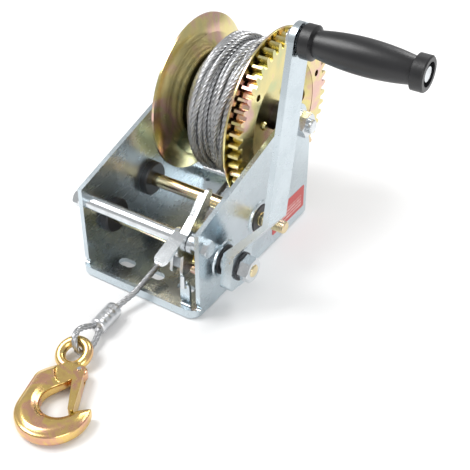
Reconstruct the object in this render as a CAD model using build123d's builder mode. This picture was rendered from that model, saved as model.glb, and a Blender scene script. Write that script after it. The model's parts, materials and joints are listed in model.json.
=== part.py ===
from build123d import *
import os
from math import acos, asin, atan2, cos, degrees, hypot, pi, radians, sin, sqrt, tan

# Hand winch for a boat trailer, in millimetres.
# +X runs along the shafts towards the crank, -Y is the side the rope leaves on, +Z is up.
# The origin is the middle of the base's underside.

# ---------------------------------------------------------------- frame
sheet = 4.0                 # pressed steel of the frame
frame_width = 118.0         # over both side plates
base_depth = 180.0
lip_height = 9.5            # turned-up lips at the front and the rear
lip_sheet = 3.5
plate_setback = 7.0         # the side plates start this far behind the front lip
plate_front_height = 82.0   # where the sloping edge starts
plate_corner_radius = 11.0
plate_top_radius = 16.0     # round the drum bolt
rear_taper_height = 76.0    # the rear edge is upright up to here
base_corner_radius = 10.0
bend_radius = 3.0
boss_height = 1.2           # raised ring round each shaft hole
boss_radius = 16.5
notch_radius = 2.4

slot_pitch = 30.5
slot_length = 16.0
slot_width = 9.5
slot_y = -62.5
middle_hole_radius = 4.5
middle_hole_y = 20.0
rear_hole_radius = 6.5
rear_hole_y = 58.0
drain_hole_radius = 2.0
drain_hole = (-43.0, 80.0)

lug_width = 9.0
lug_sheet = 2.5
lug_height = 31.0
lug_x = 44.5
lug_y = -81.75
lug_hole_radius = 2.0

# ---------------------------------------------------------------- shafts
shaft_radius = 6.0
running_gap = 0.05          # radial clearance of a shaft in its bush
drum_y = 66.0
drum_z = 108.0
crank_z = 38.0
tie_y = -75.0
tie_z = 66.5

# ---------------------------------------------------------------- gear train
drum_module = 3.0
drum_teeth = 48
drive_teeth = 10
drum_shift = 0.4            # profile shift, added to the pinion and taken from the gear
crank_module = 2.5
middle_teeth = 30
crank_teeth = 14
crank_shift = 0.2
pressure_angle = 20.0
backlash = 0.3

drum_centres = drum_module * (drum_teeth + drive_teeth) / 2
crank_centres = crank_module * (middle_teeth + crank_teeth) / 2
middle_z = 45.0
middle_y = drum_y - sqrt(drum_centres**2 - (drum_z - middle_z) ** 2)
crank_y = middle_y - sqrt(crank_centres**2 - (middle_z - crank_z) ** 2)

# ---------------------------------------------------------------- places along X
half_width = frame_width / 2
inner_x = half_width - sheet
side_gap = 0.5              # turning pieces stay this far from the plates
gear_width = 9.0
gear_right = inner_x - 9.0
gear_left = gear_right - gear_width
gear_web = 4.0
gear_rim_inner = 50.0
middle_gear_width = 6.0
middle_gear_left = gear_right + 1.0
drive_left = gear_left - 0.5
drive_right = gear_right + 0.5
crank_pinion_left = drive_left
crank_pinion_right = middle_gear_left + middle_gear_width + 0.5

# ---------------------------------------------------------------- drum
flange_sheet = 2.0
right_flange_radius = 76.0
right_flange_right = gear_left - 2.0
right_flange_left = right_flange_right - flange_sheet
left_flange_radius = 70.5
left_flange_inner = -28.0   # inside face of the flat middle
left_flange_rim = -41.0     # outside face at the rim
left_flat_radius = 44.0
barrel_radius = 30.0
barrel_wall = 3.0
sleeve_radius = 12.5
drum_bolt_radius = 6.0
web_hole_radius = 13.0
web_hole_circle = 32.5
web_hole_turns = (0, 240)
rivet_circle = 21.0
rivet_radius = 4.0
rivet_height = 2.2
rivet_taper = 25
web_small_radius = 3.0
web_small_circle = 58.0

# ---------------------------------------------------------------- bushes and fasteners
bush_body_radius = 9.0
left_collar_radius = 15.2
left_collar_length = 6.5
right_collar_radius = 12.5
right_collar_length = 2.0
circlip_sheet = 1.2
circlip_radius = 9.0
groove_radius = 5.2
shaft_left_end = -half_width - 4.5
stub_end = half_width + 26.0
stub_radius = 5.4           # where the crank fits on either shaft
tie_bolt_radius = 4.0
tie_spacer_radius = 6.0
m8_flats = 13.0
m8_head = 5.3
m8_nut = 6.5
m12_flats = 19.0
m12_nut = 10.0
m12_head = 7.5
washer_sheet = 1.6
m12_washer_radius = 12.0
thread_past_nut = 4.0

# ---------------------------------------------------------------- crank and grip
arm_lean = 10.4             # degrees from upright, towards the rear
arm_length = 191.5          # crank axis to grip axis
arm_sheet = 3.0
arm_hub_depth = 9.5         # height of the channel at the hub
arm_top_depth = 5.0         # and at the grip
arm_hollow_depth = 14.0
arm_hub_radius = 14.5
arm_heel = 19.0             # the hub end reaches this far past the shaft
arm_heel_radius = 5.0
arm_top_radius = 12.5
arm_hub_face = half_width + 17.0
arm_offset = 26.0           # how far the arm steps outwards
step_start = 14.0
step_end = 50.0
step_fillet = 9.0
hub_radius = 9.5
grip_length = 92.5
grip_radius = 12.9
grip_end_radius = 9.6
grip_collar_radius = 12.6
grip_collar = 10.5
grip_recess_radius = 8.6
grip_recess_depth = 4.0
grip_head_radius = 6.0
grip_head = 2.6
grip_bolt_radius = 4.0
grip_gap = 1.2

# ---------------------------------------------------------------- pawl
pawl_left = 34.5
pawl_right = 46.5
pawl_sheet = 2.5
pawl_turn = 16.0            # degrees from free to engaged
pawl_boss_radius = 9.5
pawl_nose_depth = 17.0      # radius that the nose reaches on the crank pinion
pawl_nose_tip = 1.3
pawl_nose_root = 3.2
pawl_collar_radius = 8.5
pawl_anchor_radius = 4.0
pawl_front_radius = 5.5
pawl_skirt_radius = 4.0
finger_end_radius = 4.0
rear_reach = 24.5           # the finger behind the pawl, from the tie rod
finger_bend_radius = 18.5
finger_width = 7.0
tab_reach = 36.0            # the thumb tab in front of it
tab_root_radius = 13.5

# ---------------------------------------------------------------- rope, ferrule and hook
rope_diameter = 5.0
clamp_circle = 36.0
clamp_height = 5.0
clamp_size = (9.0, 20.0)
clamp_corner = 3.0
clamp_screw_flats = 4.0
clamp_screw_height = 4.0
clamp_screw_offset = 5.5
rope_exit_x = 6.0
pack_radius = 62.0
pack_slope = 16.0            # the turns thin out towards the left flange
pack_shoulder = 10.0
pack_groove_depth = 5.0
pack_groove_width = 9.0
rope_gap = 0.4
lip_rope_y = -base_depth / 2 - 1.0
ferrule_start = Vector(0.2, -118.0, 8.2)
ferrule_end = Vector(2.6, -144.0, 8.6)
ferrule_radius = 7.2
eye_centre = Vector(6.0, -175.0, 8.2)
eye_ring_radius = 11.0
eye_bar_radius = 4.25
eye_tilt = 20.0
hook_turn = -60.0           # the hook points this far round from +X
hook_thickness = 14.0
hook_neck = 8.6             # thickness that the latch straddles
hook_mouth = ((33, 0), (22, 3), (22, 40), (53, 40), (57, 20), (62, 0))
throat_entry = (36.0, 3.0)
throat_entry_radius = 5.0
hook_slabs = ((0, 0.4), (1.2, 0.66), (3.0, 0.86), (5.2, 1.0))   # edge inset, share of the half thickness
bowl_centre = (57.8, -4.6)
bowl_outer_radius = 27.6
throat_centre = (50.5, -0.5)
throat_radius = 15.0
shoulder = (28.5, -15.5)
neck_centre = (17.5, -0.5)
neck_radius = 6.8
shoulder_radius = 9.6
latch_pivot = (20.5, 8.0)
latch_reach = (58.8, 8.6)
latch_lug_radius = 6.0
latch_pocket_radius = 18.0
latch_root_radius = 4.2
latch_tip_radius = 2.2
latch_gap = 0.4
latch_sheet = 1.2
latch_rivet_radius = 1.6
rivet_head = 0.8

os.makedirs("parts", exist_ok=True)


def along_x(x, y, z):
    """A plane square to X: its own x is +Y, its own y is +Z."""
    return Plane(origin=(x, y, z), x_dir=(0, 1, 0), z_dir=(1, 0, 0))


def drum_plane(x):
    return along_x(x, drum_y, drum_z)


def middle_plane(x):
    return along_x(x, middle_y, middle_z)


def crank_plane(x):
    return along_x(x, crank_y, crank_z)


def tie_plane(x):
    return along_x(x, tie_y, tie_z)


def save(piece, name):
    piece.part.label = name
    export_step(piece.part, f"parts/{name}.step")


def involute(angle):
    return tan(angle) - angle


def gear_sketch(plane, teeth, module, shift, tip_radius, phase):
    """Outline of a spur gear whose tooth 0 points at phase degrees."""
    pitch = module * teeth / 2
    base = pitch * cos(radians(pressure_angle))
    root = pitch - module * (1.25 - shift)
    start = max(base, root)
    thick = module * (pi / 2 + 2 * shift * tan(radians(pressure_angle))) - backlash / 2
    half_at_pitch = thick / (2 * pitch) + involute(radians(pressure_angle))

    def flank(radius, side, middle):
        half = half_at_pitch - involute(acos(base / radius))
        turn = middle + side * half
        return (radius * cos(turn), radius * sin(turn))

    def polar(radius, turn):
        return (radius * cos(turn), radius * sin(turn))

    step = 2 * pi / teeth
    middle_radius = (start + tip_radius) / 2
    with BuildSketch(plane) as outline:
        with BuildLine():
            for tooth in range(teeth):
                middle = radians(phase) + tooth * step
                half_root = half_at_pitch - involute(acos(base / start))
                next_middle = middle + step
                foot = polar(root, middle - half_root)
                far_foot = polar(root, middle + half_root)
                next_foot = polar(root, next_middle - half_root)
                if start > root:
                    Line(foot, flank(start, -1, middle))
                    Line(flank(start, 1, middle), far_foot)
                ThreePointArc(
                    flank(start, -1, middle),
                    flank(middle_radius, -1, middle),
                    flank(tip_radius, -1, middle),
                )
                Line(flank(tip_radius, -1, middle), flank(tip_radius, 1, middle))
                ThreePointArc(
                    flank(tip_radius, 1, middle),
                    flank(middle_radius, 1, middle),
                    flank(start, 1, middle),
                )
                ThreePointArc(far_foot, polar(root, middle + step / 2), next_foot)
        make_face()
    return outline.sketch


def disc(plane, radius):
    with BuildSketch(plane) as outline:
        Circle(radius)
    return outline.sketch


def hexagon(plane, flats):
    with BuildSketch(plane) as outline:
        RegularPolygon(flats / 2, 6, major_radius=False)
    return outline.sketch


def turned_corners(plane, flats, height):
    """Section whose revolution rounds off the corners of a hexagon."""
    radius = flats / sqrt(3)
    cut = flats * 0.05
    section = Plane(origin=plane.origin, x_dir=(1, 0, 0), z_dir=(0, -1, 0))
    with BuildSketch(section) as outline:
        with BuildLine():
            Polyline(
                (0, 0),
                (0, radius - 1.4 * cut),
                (cut, radius),
                (height - cut, radius),
                (height, radius - 1.4 * cut),
                (height, 0),
                close=True,
            )
        make_face()
    return outline.sketch


def ring(plane, outer, inner, length):
    """Adds a plain washer, spacer or tube to the part being made."""
    extrude(disc(plane, outer) - disc(plane, inner), amount=length)


def save_ring(name, plane, outer, inner, length):
    with BuildPart() as tube:
        ring(plane, outer, inner, length)
    save(tube, name)


def save_nut(name, plane, flats, height, bore):
    with BuildPart() as nut:
        extrude(hexagon(plane, flats), amount=height)
        revolve(turned_corners(plane, flats, height), axis=Axis(plane.origin, (1, 0, 0)), mode=Mode.INTERSECT)
        extrude(disc(plane, bore), amount=height, mode=Mode.SUBTRACT)
    save(nut, name)


def save_bolt(name, head_plane, flats, head, shank_plane, radius, length):
    with BuildPart() as bolt:
        extrude(hexagon(head_plane, flats), amount=head)
        revolve(turned_corners(head_plane, flats, head), axis=Axis(head_plane.origin, (1, 0, 0)),
                mode=Mode.INTERSECT)
        extrude(disc(shank_plane, radius), amount=length)
        ends = bolt.edges().filter_by(GeomType.CIRCLE).filter_by(lambda edge: abs(edge.radius - radius) < 0.01)
        chamfer(ends.group_by(Axis.X)[0 if shank_plane.origin.X < head_plane.origin.X else -1], 0.8)
    save(bolt, name)


# ================================================================ frame
front_y = -base_depth / 2
rear_y = base_depth / 2
plate_front_y = front_y + plate_setback

# The sloping edge runs from the front corner to a tangent of the round top.
slope_reach = hypot(drum_y - plate_front_y, drum_z - plate_front_height)
slope_turn = atan2(drum_z - plate_front_height, drum_y - plate_front_y)
slope_turn += asin(plate_top_radius / slope_reach)
slope_end = (drum_y - plate_top_radius * sin(slope_turn), drum_z + plate_top_radius * cos(slope_turn))
# The rear edge leans from its upright part to a tangent of the same round.
rear_reach = hypot(rear_y - drum_y, rear_taper_height - drum_z)
rear_turn = atan2(drum_z - rear_taper_height, drum_y - rear_y)
rear_turn -= asin(plate_top_radius / rear_reach)
rear_end = (drum_y + plate_top_radius * sin(rear_turn), drum_z - plate_top_radius * cos(rear_turn))
top_turn = (atan2(rear_end[1] - drum_z, rear_end[0] - drum_y) + slope_turn + pi / 2) / 2
top_middle = (drum_y + plate_top_radius * cos(top_turn), drum_z + plate_top_radius * sin(top_turn))

with BuildPart() as frame:
    # floor and the turned-up rim that wraps round the corners
    with BuildSketch(Plane.XY) as floor_plan:
        Rectangle(frame_width, base_depth)
        fillet(floor_plan.vertices().group_by(Axis.Y)[0], base_corner_radius)
    extrude(amount=lip_height)
    fillet(frame.faces().sort_by(Axis.Z)[0].edges(), bend_radius - 0.5)
    with BuildSketch(Plane.XY.offset(sheet)) as pan:
        Rectangle(frame_width - 2 * lip_sheet, base_depth - 2 * lip_sheet)
        fillet(pan.vertices().group_by(Axis.Y)[0], base_corner_radius - lip_sheet)
        fillet(pan.vertices().group_by(Axis.Y)[-1], 1)
    extrude(amount=lip_height, mode=Mode.SUBTRACT)
    # side plates
    for plate_x in (-half_width, inner_x):
        with BuildSketch(Plane.YZ.offset(plate_x)) as plate:
            with BuildLine():
                edge = Polyline(
                    slope_end,
                    (plate_front_y, plate_front_height),
                    (plate_front_y, bend_radius),
                    (rear_y, bend_radius),
                    (rear_y, rear_taper_height),
                    rear_end,
                )
                ThreePointArc(rear_end, top_middle, slope_end)
            make_face()
            corner = plate.vertices().sort_by_distance((plate_x, plate_front_y, plate_front_height))[0]
            fillet(corner, plate_corner_radius)
        extrude(amount=sheet)
    # raised rings round the shaft holes
    for plane_at in (middle_plane, crank_plane):
        with BuildSketch(plane_at(half_width)):
            Circle(boss_radius)
        extrude(amount=boss_height, taper=40)
        with BuildSketch(plane_at(half_width)):
            Circle(right_collar_radius + 0.6)
        extrude(amount=boss_height, mode=Mode.SUBTRACT)
    # spring lug
    with BuildSketch(Plane.XZ.offset(-lug_y - lug_sheet / 2)) as lug:
        with Locations((lug_x, lug_height / 2 + 1)):
            Rectangle(lug_width, lug_height - 2)
        fillet(lug.vertices().group_by(Axis.Y)[-1], lug_width / 2 - 0.1)
        with Locations((lug_x, lug_height - lug_width / 2)):
            Circle(lug_hole_radius, mode=Mode.SUBTRACT)
    extrude(amount=lug_sheet)
    # shaft, bolt and tie-rod holes through both plates
    hole_list = (
        (crank_y, crank_z, bush_body_radius),
        (middle_y, middle_z, bush_body_radius),
        (drum_y, drum_z, drum_bolt_radius + 0.3),
        (tie_y, tie_z, tie_bolt_radius + 0.2),
    )
    for hole_y, hole_z, hole_radius in hole_list:
        with BuildSketch(along_x(-half_width, hole_y, hole_z)):
            Circle(hole_radius)
        extrude(amount=frame_width + boss_height, mode=Mode.SUBTRACT)
    # relief notches where the lip meets the plates
    with BuildSketch(along_x(-half_width, plate_front_y - 1.0, lip_height)):
        Circle(notch_radius)
    extrude(amount=frame_width, mode=Mode.SUBTRACT)
    # bolt slots and holes in the floor
    with BuildSketch(Plane.XY):
        with Locations((0, slot_y)):
            with GridLocations(slot_pitch, 1, 3, 1):
                SlotOverall(slot_length, slot_width)
        with Locations((0, middle_hole_y)):
            Circle(middle_hole_radius)
        with Locations((0, rear_hole_y)):
            Circle(rear_hole_radius)
        with Locations(drain_hole):
            Circle(drain_hole_radius)
    extrude(amount=sheet, mode=Mode.SUBTRACT)
save(frame, "frame")

label_height = 23.0
label_length = 55.0
label_centre = (57.0, 22.5)
with BuildPart() as rating_label:
    with BuildSketch(Plane.YZ.offset(half_width)):
        with Locations(label_centre):
            RectangleRounded(label_length, label_height, 1.5)
    extrude(amount=0.3)
save(rating_label, "rating_label")

# ================================================================ tie rod
save_ring("tie_rod_spacer", tie_plane(-inner_x), tie_spacer_radius, tie_bolt_radius + 0.2, 2 * inner_x)

tie_nut_left = -half_width - washer_sheet - m8_nut
tie_bolt_left = tie_nut_left - thread_past_nut / 2
save_bolt("tie_rod_bolt", tie_plane(half_width), m8_flats, m8_head,
          tie_plane(tie_bolt_left), tie_bolt_radius, half_width - tie_bolt_left)
save_ring("tie_rod_washer", tie_plane(-half_width - washer_sheet), 8.0, tie_bolt_radius, washer_sheet)
save_nut("tie_rod_nut", tie_plane(tie_nut_left), m8_flats, m8_nut, tie_bolt_radius)

# collars that keep the pawl in its place on the spacer
with BuildPart() as pawl_collars:
    ring(tie_plane(pawl_left - 2.0), pawl_collar_radius, tie_spacer_radius, 1.5)
    ring(tie_plane(pawl_right + 0.5), pawl_collar_radius, tie_spacer_radius, 4.5)
save(pawl_collars, "pawl_collars")

# ================================================================ bushes
for name, plane_at in (("crank_bush_left", crank_plane), ("middle_bush_left", middle_plane)):
    with BuildPart() as bush:
        extrude(disc(plane_at(-half_width), bush_body_radius), amount=sheet)
        extrude(disc(plane_at(-inner_x), left_collar_radius), amount=left_collar_length)
        chamfer(bush.edges().group_by(Axis.X)[-1], 1.2)
        bush_length = sheet + left_collar_length
        extrude(disc(plane_at(-half_width), shaft_radius + running_gap), amount=bush_length, mode=Mode.SUBTRACT)
    save(bush, name)

for name, plane_at in (("crank_bush_right", crank_plane), ("middle_bush_right", middle_plane)):
    with BuildPart() as bush:
        extrude(disc(plane_at(inner_x), bush_body_radius), amount=sheet)
        extrude(disc(plane_at(half_width), right_collar_radius), amount=right_collar_length)
        chamfer(bush.edges().group_by(Axis.X)[-1], 0.6)
        bush_length = sheet + right_collar_length
        extrude(disc(plane_at(inner_x), shaft_radius + running_gap), amount=bush_length, mode=Mode.SUBTRACT)
    save(bush, name)

# ================================================================ drum and its bolt
bolt_head_left = -half_width - washer_sheet - m12_head
bolt_right = half_width + washer_sheet + m12_nut + thread_past_nut
bolt_seat = -half_width - washer_sheet
save_bolt("drum_bolt", drum_plane(bolt_head_left), m12_flats, m12_head,
          drum_plane(bolt_seat), drum_bolt_radius, bolt_right - bolt_seat)
with BuildPart() as drum_washers:
    ring(drum_plane(-half_width - washer_sheet), m12_washer_radius, drum_bolt_radius, washer_sheet)
    ring(drum_plane(half_width), m12_washer_radius, drum_bolt_radius, washer_sheet)
save(drum_washers, "drum_bolt_washers")
save_nut("drum_bolt_nut", drum_plane(half_width + washer_sheet), m12_flats, m12_nut, drum_bolt_radius)

sleeve_end = inner_x - side_gap
save_ring("drum_sleeve", drum_plane(-sleeve_end), sleeve_radius, drum_bolt_radius + running_gap, 2 * sleeve_end)
save_ring("drum_barrel", drum_plane(left_flange_inner), barrel_radius, barrel_radius - barrel_wall,
          right_flange_left - left_flange_inner)

drum_axis = Axis((0, drum_y, drum_z), (1, 0, 0))
drum_section = Plane(origin=(0, drum_y, drum_z), x_dir=(1, 0, 0), z_dir=(0, -1, 0))

rim_inner = left_flange_rim + flange_sheet
crease = (left_flange_inner - 5.0, left_flat_radius + 11.0)
roll = (crease[0] - 2.2, (crease[1] + left_flange_radius) / 2)
hollow = (left_flange_inner - 3.3, (left_flat_radius + crease[1]) / 2)


def flange_side(shift):
    """The dished line of the left flange: a flat, a hollow, a crease and a rolled rim."""
    Line((left_flange_inner - shift, sleeve_radius), (left_flange_inner - shift, left_flat_radius))
    ThreePointArc((left_flange_inner - shift, left_flat_radius), (hollow[0] - shift, hollow[1] + 1.6),
                  (crease[0] - shift, crease[1]))
    ThreePointArc((crease[0] - shift, crease[1]), (roll[0] - shift, roll[1]),
                  (rim_inner - shift, left_flange_radius))


with BuildPart() as left_flange:
    with BuildSketch(drum_section):
        with BuildLine():
            flange_side(0)
            Line((rim_inner, left_flange_radius), (rim_inner - flange_sheet, left_flange_radius))
            flange_side(flange_sheet)
            Line((left_flange_inner - flange_sheet, sleeve_radius), (left_flange_inner, sleeve_radius))
        make_face()
    revolve(axis=drum_axis)
save(left_flange, "left_flange")

with BuildPart() as right_flange:
    extrude(disc(drum_plane(right_flange_left), right_flange_radius), amount=flange_sheet)
    chamfer(right_flange.edges().filter_by(GeomType.CIRCLE), 0.4)
    extrude(disc(drum_plane(right_flange_left), sleeve_radius), amount=flange_sheet, mode=Mode.SUBTRACT)
save(right_flange, "right_flange")

drive_turn = degrees(atan2(middle_z - drum_z, middle_y - drum_y))
crank_turn = degrees(atan2(crank_z - middle_z, crank_y - middle_y))
drum_tip = drum_module * (drum_teeth / 2 + 1 - drum_shift)
drive_tip = drum_module * (drive_teeth / 2 + 1 + drum_shift) - 0.3
middle_tip = crank_module * (middle_teeth / 2 + 1 - crank_shift)
crank_tip = crank_module * (crank_teeth / 2 + 1 + crank_shift)

with BuildPart() as drum_gear:
    extrude(gear_sketch(drum_plane(gear_left), drum_teeth, drum_module, -drum_shift, drum_tip, drive_turn),
            amount=gear_width)
    with BuildSketch(drum_plane(gear_left)):
        Circle(gear_rim_inner)
    extrude(amount=gear_width, mode=Mode.SUBTRACT)
    with BuildSketch(drum_section):
        with BuildLine():
            Polyline(
                (right_flange_right, sleeve_radius),
                (right_flange_right, gear_rim_inner - 8.0),
                (gear_left + 1.0, gear_rim_inner),
                (gear_right - 0.5, gear_rim_inner),
                (right_flange_right + gear_web, gear_rim_inner - 6.0),
                (right_flange_right + gear_web, sleeve_radius),
                close=True,
            )
        make_face()
    revolve(axis=drum_axis)
    with BuildSketch(drum_plane(right_flange_right)):
        for turn in web_hole_turns:
            with PolarLocations(web_hole_circle, 1, start_angle=turn):
                Circle(web_hole_radius)
        with PolarLocations(web_small_circle, 3, start_angle=18):
            Circle(web_small_radius)
    extrude(amount=gear_right - right_flange_right, mode=Mode.SUBTRACT)
save(drum_gear, "drum_gear")

with BuildPart() as flange_rivets:
    for turn in (60, 180, 300):
        rivet_y = drum_y + rivet_circle * cos(radians(turn))
        rivet_z = drum_z + rivet_circle * sin(radians(turn))
        with BuildSketch(along_x(right_flange_right + gear_web, rivet_y, rivet_z)):
            Circle(rivet_radius)
        extrude(amount=rivet_height, taper=rivet_taper)
save(flange_rivets, "gear_rivets")

# the wound rope: a barrel-shaped pack with a gap where the rope runs off
pack_floor = pack_radius - pack_groove_depth
groove_left = rope_exit_x - pack_groove_width / 2
groove_right = rope_exit_x + pack_groove_width / 2
with BuildPart() as rope_winding:
    with BuildSketch(drum_section):
        with BuildLine():
            Polyline(
                (left_flange_inner + 0.3, barrel_radius),
                (left_flange_inner + 0.3, barrel_radius + rope_diameter),
                (left_flange_inner + pack_slope / 2, pack_radius - pack_shoulder),
                (left_flange_inner + pack_slope, pack_radius),
                (groove_left, pack_radius),
                (groove_left, pack_floor),
                (groove_right, pack_floor),
                (groove_right, pack_radius),
                (right_flange_left - 8.0, pack_radius),
                (right_flange_left - 0.3, pack_radius - 8.0),
                (right_flange_left - 0.3, barrel_radius),
                close=True,
            )
        make_face()
    revolve(axis=drum_axis)
save(rope_winding, "rope_winding")

# saddle that clamps the rope's inner end to the left flange
with BuildPart() as rope_clamp:
    with BuildSketch(along_x(left_flange_inner - flange_sheet - clamp_height, drum_y - clamp_circle, drum_z)):
        RectangleRounded(*clamp_size, clamp_corner)
    extrude(amount=clamp_height)
save(rope_clamp, "rope_clamp")

with BuildPart() as rope_clamp_screws:
    for screw_z in (drum_z - clamp_screw_offset, drum_z + clamp_screw_offset):
        screw_x = left_flange_inner - flange_sheet - clamp_height - clamp_screw_height
        clamp_plane = along_x(screw_x, drum_y - clamp_circle, screw_z)
        with BuildSketch(clamp_plane):
            RegularPolygon(clamp_screw_flats, 6, major_radius=False)
        extrude(amount=clamp_screw_height)
save(rope_clamp_screws, "rope_clamp_screws")

# ================================================================ middle shaft
circlip_left = -half_width - circlip_sheet


def save_shaft(name, plane_at, shoulder, right_end, end_radius):
    with BuildPart() as shaft:
        extrude(disc(plane_at(shaft_left_end), shaft_radius), amount=shoulder - shaft_left_end)
        extrude(disc(plane_at(shoulder), end_radius), amount=right_end - shoulder)
        chamfer(shaft.edges().group_by(Axis.X)[0], 0.8)
        chamfer(shaft.edges().group_by(Axis.X)[-1], 0.8)
        groove = disc(plane_at(circlip_left), shaft_radius + 1) - disc(plane_at(circlip_left), groove_radius)
        extrude(groove, amount=circlip_sheet, mode=Mode.SUBTRACT)
    save(shaft, name)


stub_start = half_width + right_collar_length + side_gap
save_shaft("middle_shaft", middle_plane, stub_start, stub_end, stub_radius)

with BuildPart() as drive_pinion:
    extrude(gear_sketch(middle_plane(drive_left), drive_teeth, drum_module, drum_shift, drive_tip,
                        drive_turn + 180 + 180 / drive_teeth), amount=drive_right - drive_left)
    with BuildSketch(middle_plane(drive_left)):
        Circle(shaft_radius)
    extrude(amount=drive_right - drive_left, mode=Mode.SUBTRACT)
save(drive_pinion, "drive_pinion")

with BuildPart() as middle_gear:
    extrude(gear_sketch(middle_plane(middle_gear_left), middle_teeth, crank_module, -crank_shift, middle_tip,
                        crank_turn), amount=middle_gear_width)
    with BuildSketch(middle_plane(middle_gear_left)):
        Circle(shaft_radius)
    extrude(amount=middle_gear_width, mode=Mode.SUBTRACT)
save(middle_gear, "middle_gear")

# ================================================================ crank shaft
arm_hub_inner = arm_hub_face - arm_sheet
shaft_right_end = arm_hub_face + washer_sheet + m12_nut + 1.0
save_shaft("crank_shaft", crank_plane, arm_hub_inner, shaft_right_end, stub_radius)

crank_phase = crank_turn + 180 + 180 / crank_teeth
with BuildPart() as crank_pinion:
    extrude(gear_sketch(crank_plane(crank_pinion_left), crank_teeth, crank_module, crank_shift, crank_tip,
                        crank_phase), amount=crank_pinion_right - crank_pinion_left)
    with BuildSketch(crank_plane(crank_pinion_left)):
        Circle(shaft_radius)
    extrude(amount=crank_pinion_right - crank_pinion_left, mode=Mode.SUBTRACT)
save(crank_pinion, "crank_pinion")

for name, plane_at in (("crank_circlip", crank_plane), ("middle_circlip", middle_plane)):
    save_ring(name, plane_at(circlip_left), circlip_radius, groove_radius, circlip_sheet - 0.3)

# ================================================================ crank arm
arm_y = sin(radians(arm_lean))
arm_z = cos(radians(arm_lean))
arm_side = Plane(origin=(0, crank_y, crank_z), x_dir=(0, arm_y, arm_z), z_dir=(0, arm_z, -arm_y))
arm_face = Plane(origin=(0, crank_y, crank_z), x_dir=(0, arm_y, arm_z), z_dir=(1, 0, 0))
arm_top_face = arm_hub_face + arm_offset


def arm_band(outer, hub_depth, top_depth):
    """Side view of the arm: a band that steps outwards between hub and top."""
    below = -arm_heel - 5
    above = arm_length + arm_top_radius + 5
    with BuildSketch(arm_side) as band:
        with BuildLine():
            Polyline(
                (below, outer),
                (step_start, outer),
                (step_end, outer + arm_offset),
                (above, outer + arm_offset),
                (above, outer + arm_offset - top_depth),
                (step_end, outer + arm_offset - top_depth),
                (step_start, outer - hub_depth),
                (below, outer - hub_depth),
                close=True,
            )
        make_face()
        bends = [v for v in band.vertices() if below + 20 < v.Z - crank_z < above - 20]
        fillet(bends, step_fillet)
    return band.sketch


def arm_outline(inset):
    with BuildSketch(arm_face.offset(half_width)) as outline:
        Circle(arm_hub_radius - inset)
        with Locations((arm_length, 0)):
            Circle(arm_top_radius - inset)
        heel_side = arm_hub_radius - arm_heel_radius
        with Locations((arm_heel_radius - arm_heel, heel_side), (arm_heel_radius - arm_heel, -heel_side)):
            Circle(arm_heel_radius - inset)
        make_hull()
    return outline.sketch


arm_span = arm_offset + 40
with BuildPart() as arm_hollow:
    extrude(arm_band(arm_hub_inner, arm_hollow_depth, arm_hollow_depth), amount=arm_hub_radius + 5, both=True)
    extrude(arm_outline(arm_sheet), amount=arm_span, mode=Mode.INTERSECT)
with BuildPart() as crank_arm:
    extrude(arm_band(arm_hub_face, arm_hub_depth, arm_top_depth), amount=arm_hub_radius + 5, both=True)
    extrude(arm_outline(0), amount=arm_span, mode=Mode.INTERSECT)
    add(arm_hollow.part, mode=Mode.SUBTRACT)
    with BuildSketch(arm_face.offset(half_width)):
        Circle(stub_radius)
        with Locations((arm_length, 0)):
            Circle(grip_bolt_radius)
    extrude(amount=arm_span, mode=Mode.SUBTRACT)
save(crank_arm, "crank_arm")

hub_left = half_width + right_collar_length + side_gap
save_ring("crank_hub", crank_plane(hub_left), hub_radius, shaft_radius, arm_hub_inner - hub_left)
save_ring("crank_washer", crank_plane(arm_hub_face), m12_washer_radius, stub_radius, washer_sheet)
save_nut("crank_nut", crank_plane(arm_hub_face + washer_sheet), m12_flats, m12_nut, stub_radius)

# ================================================================ grip
grip_y = crank_y + arm_length * arm_y
grip_z = crank_z + arm_length * arm_z
grip_left = arm_top_face + grip_gap
grip_right = grip_left + grip_length
grip_axis = Axis((0, grip_y, grip_z), (1, 0, 0))


def grip_plane(x):
    return along_x(x, grip_y, grip_z)


grip_nut_left = arm_top_face - arm_sheet - m8_nut
grip_bolt_left = grip_nut_left - 1.5
head_seat = grip_right - grip_recess_depth + side_gap
with BuildPart() as grip_bolt:
    extrude(disc(grip_plane(grip_bolt_left), grip_bolt_radius), amount=head_seat - grip_bolt_left)
    extrude(disc(grip_plane(head_seat), grip_head_radius), amount=grip_head, taper=15)
save(grip_bolt, "grip_bolt")
save_nut("grip_nut", grip_plane(grip_nut_left), m8_flats, m8_nut, grip_bolt_radius)
save_ring("grip_washer", grip_plane(arm_top_face), 8.0, grip_bolt_radius, grip_gap - side_gap)

with BuildPart() as grip:
    grip_section = Plane(origin=(0, grip_y, grip_z), x_dir=(1, 0, 0), z_dir=(0, -1, 0))
    grip_bore = grip_bolt_radius + running_gap
    grip_middle = (grip_left + grip_right) / 2
    with BuildSketch(grip_section):
        with BuildLine():
            left_step = grip_left + grip_collar
            right_step = grip_right - grip_collar
            Polyline(
                (left_step, grip_end_radius),
                (left_step - 1.5, grip_collar_radius),
                (grip_left + 1.5, grip_collar_radius),
                (grip_left, grip_collar_radius - 1.5),
                (grip_left, grip_bore),
                (grip_right - grip_recess_depth, grip_bore),
                (grip_right - grip_recess_depth, grip_recess_radius),
                (grip_right, grip_recess_radius),
                (grip_right, grip_collar_radius - 1.0),
                (grip_right - 1.0, grip_collar_radius),
                (right_step + 1.5, grip_collar_radius),
                (right_step, grip_end_radius),
            )
            ThreePointArc((right_step, grip_end_radius), (grip_middle, grip_radius), (left_step, grip_end_radius))
        make_face()
    revolve(axis=grip_axis)
save(grip, "grip")

# ================================================================ pawl
# The pawl is drawn as it stands when engaged and turned back to its free position.
pawl_y = cos(radians(-pawl_turn))
pawl_z = sin(radians(-pawl_turn))


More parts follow.
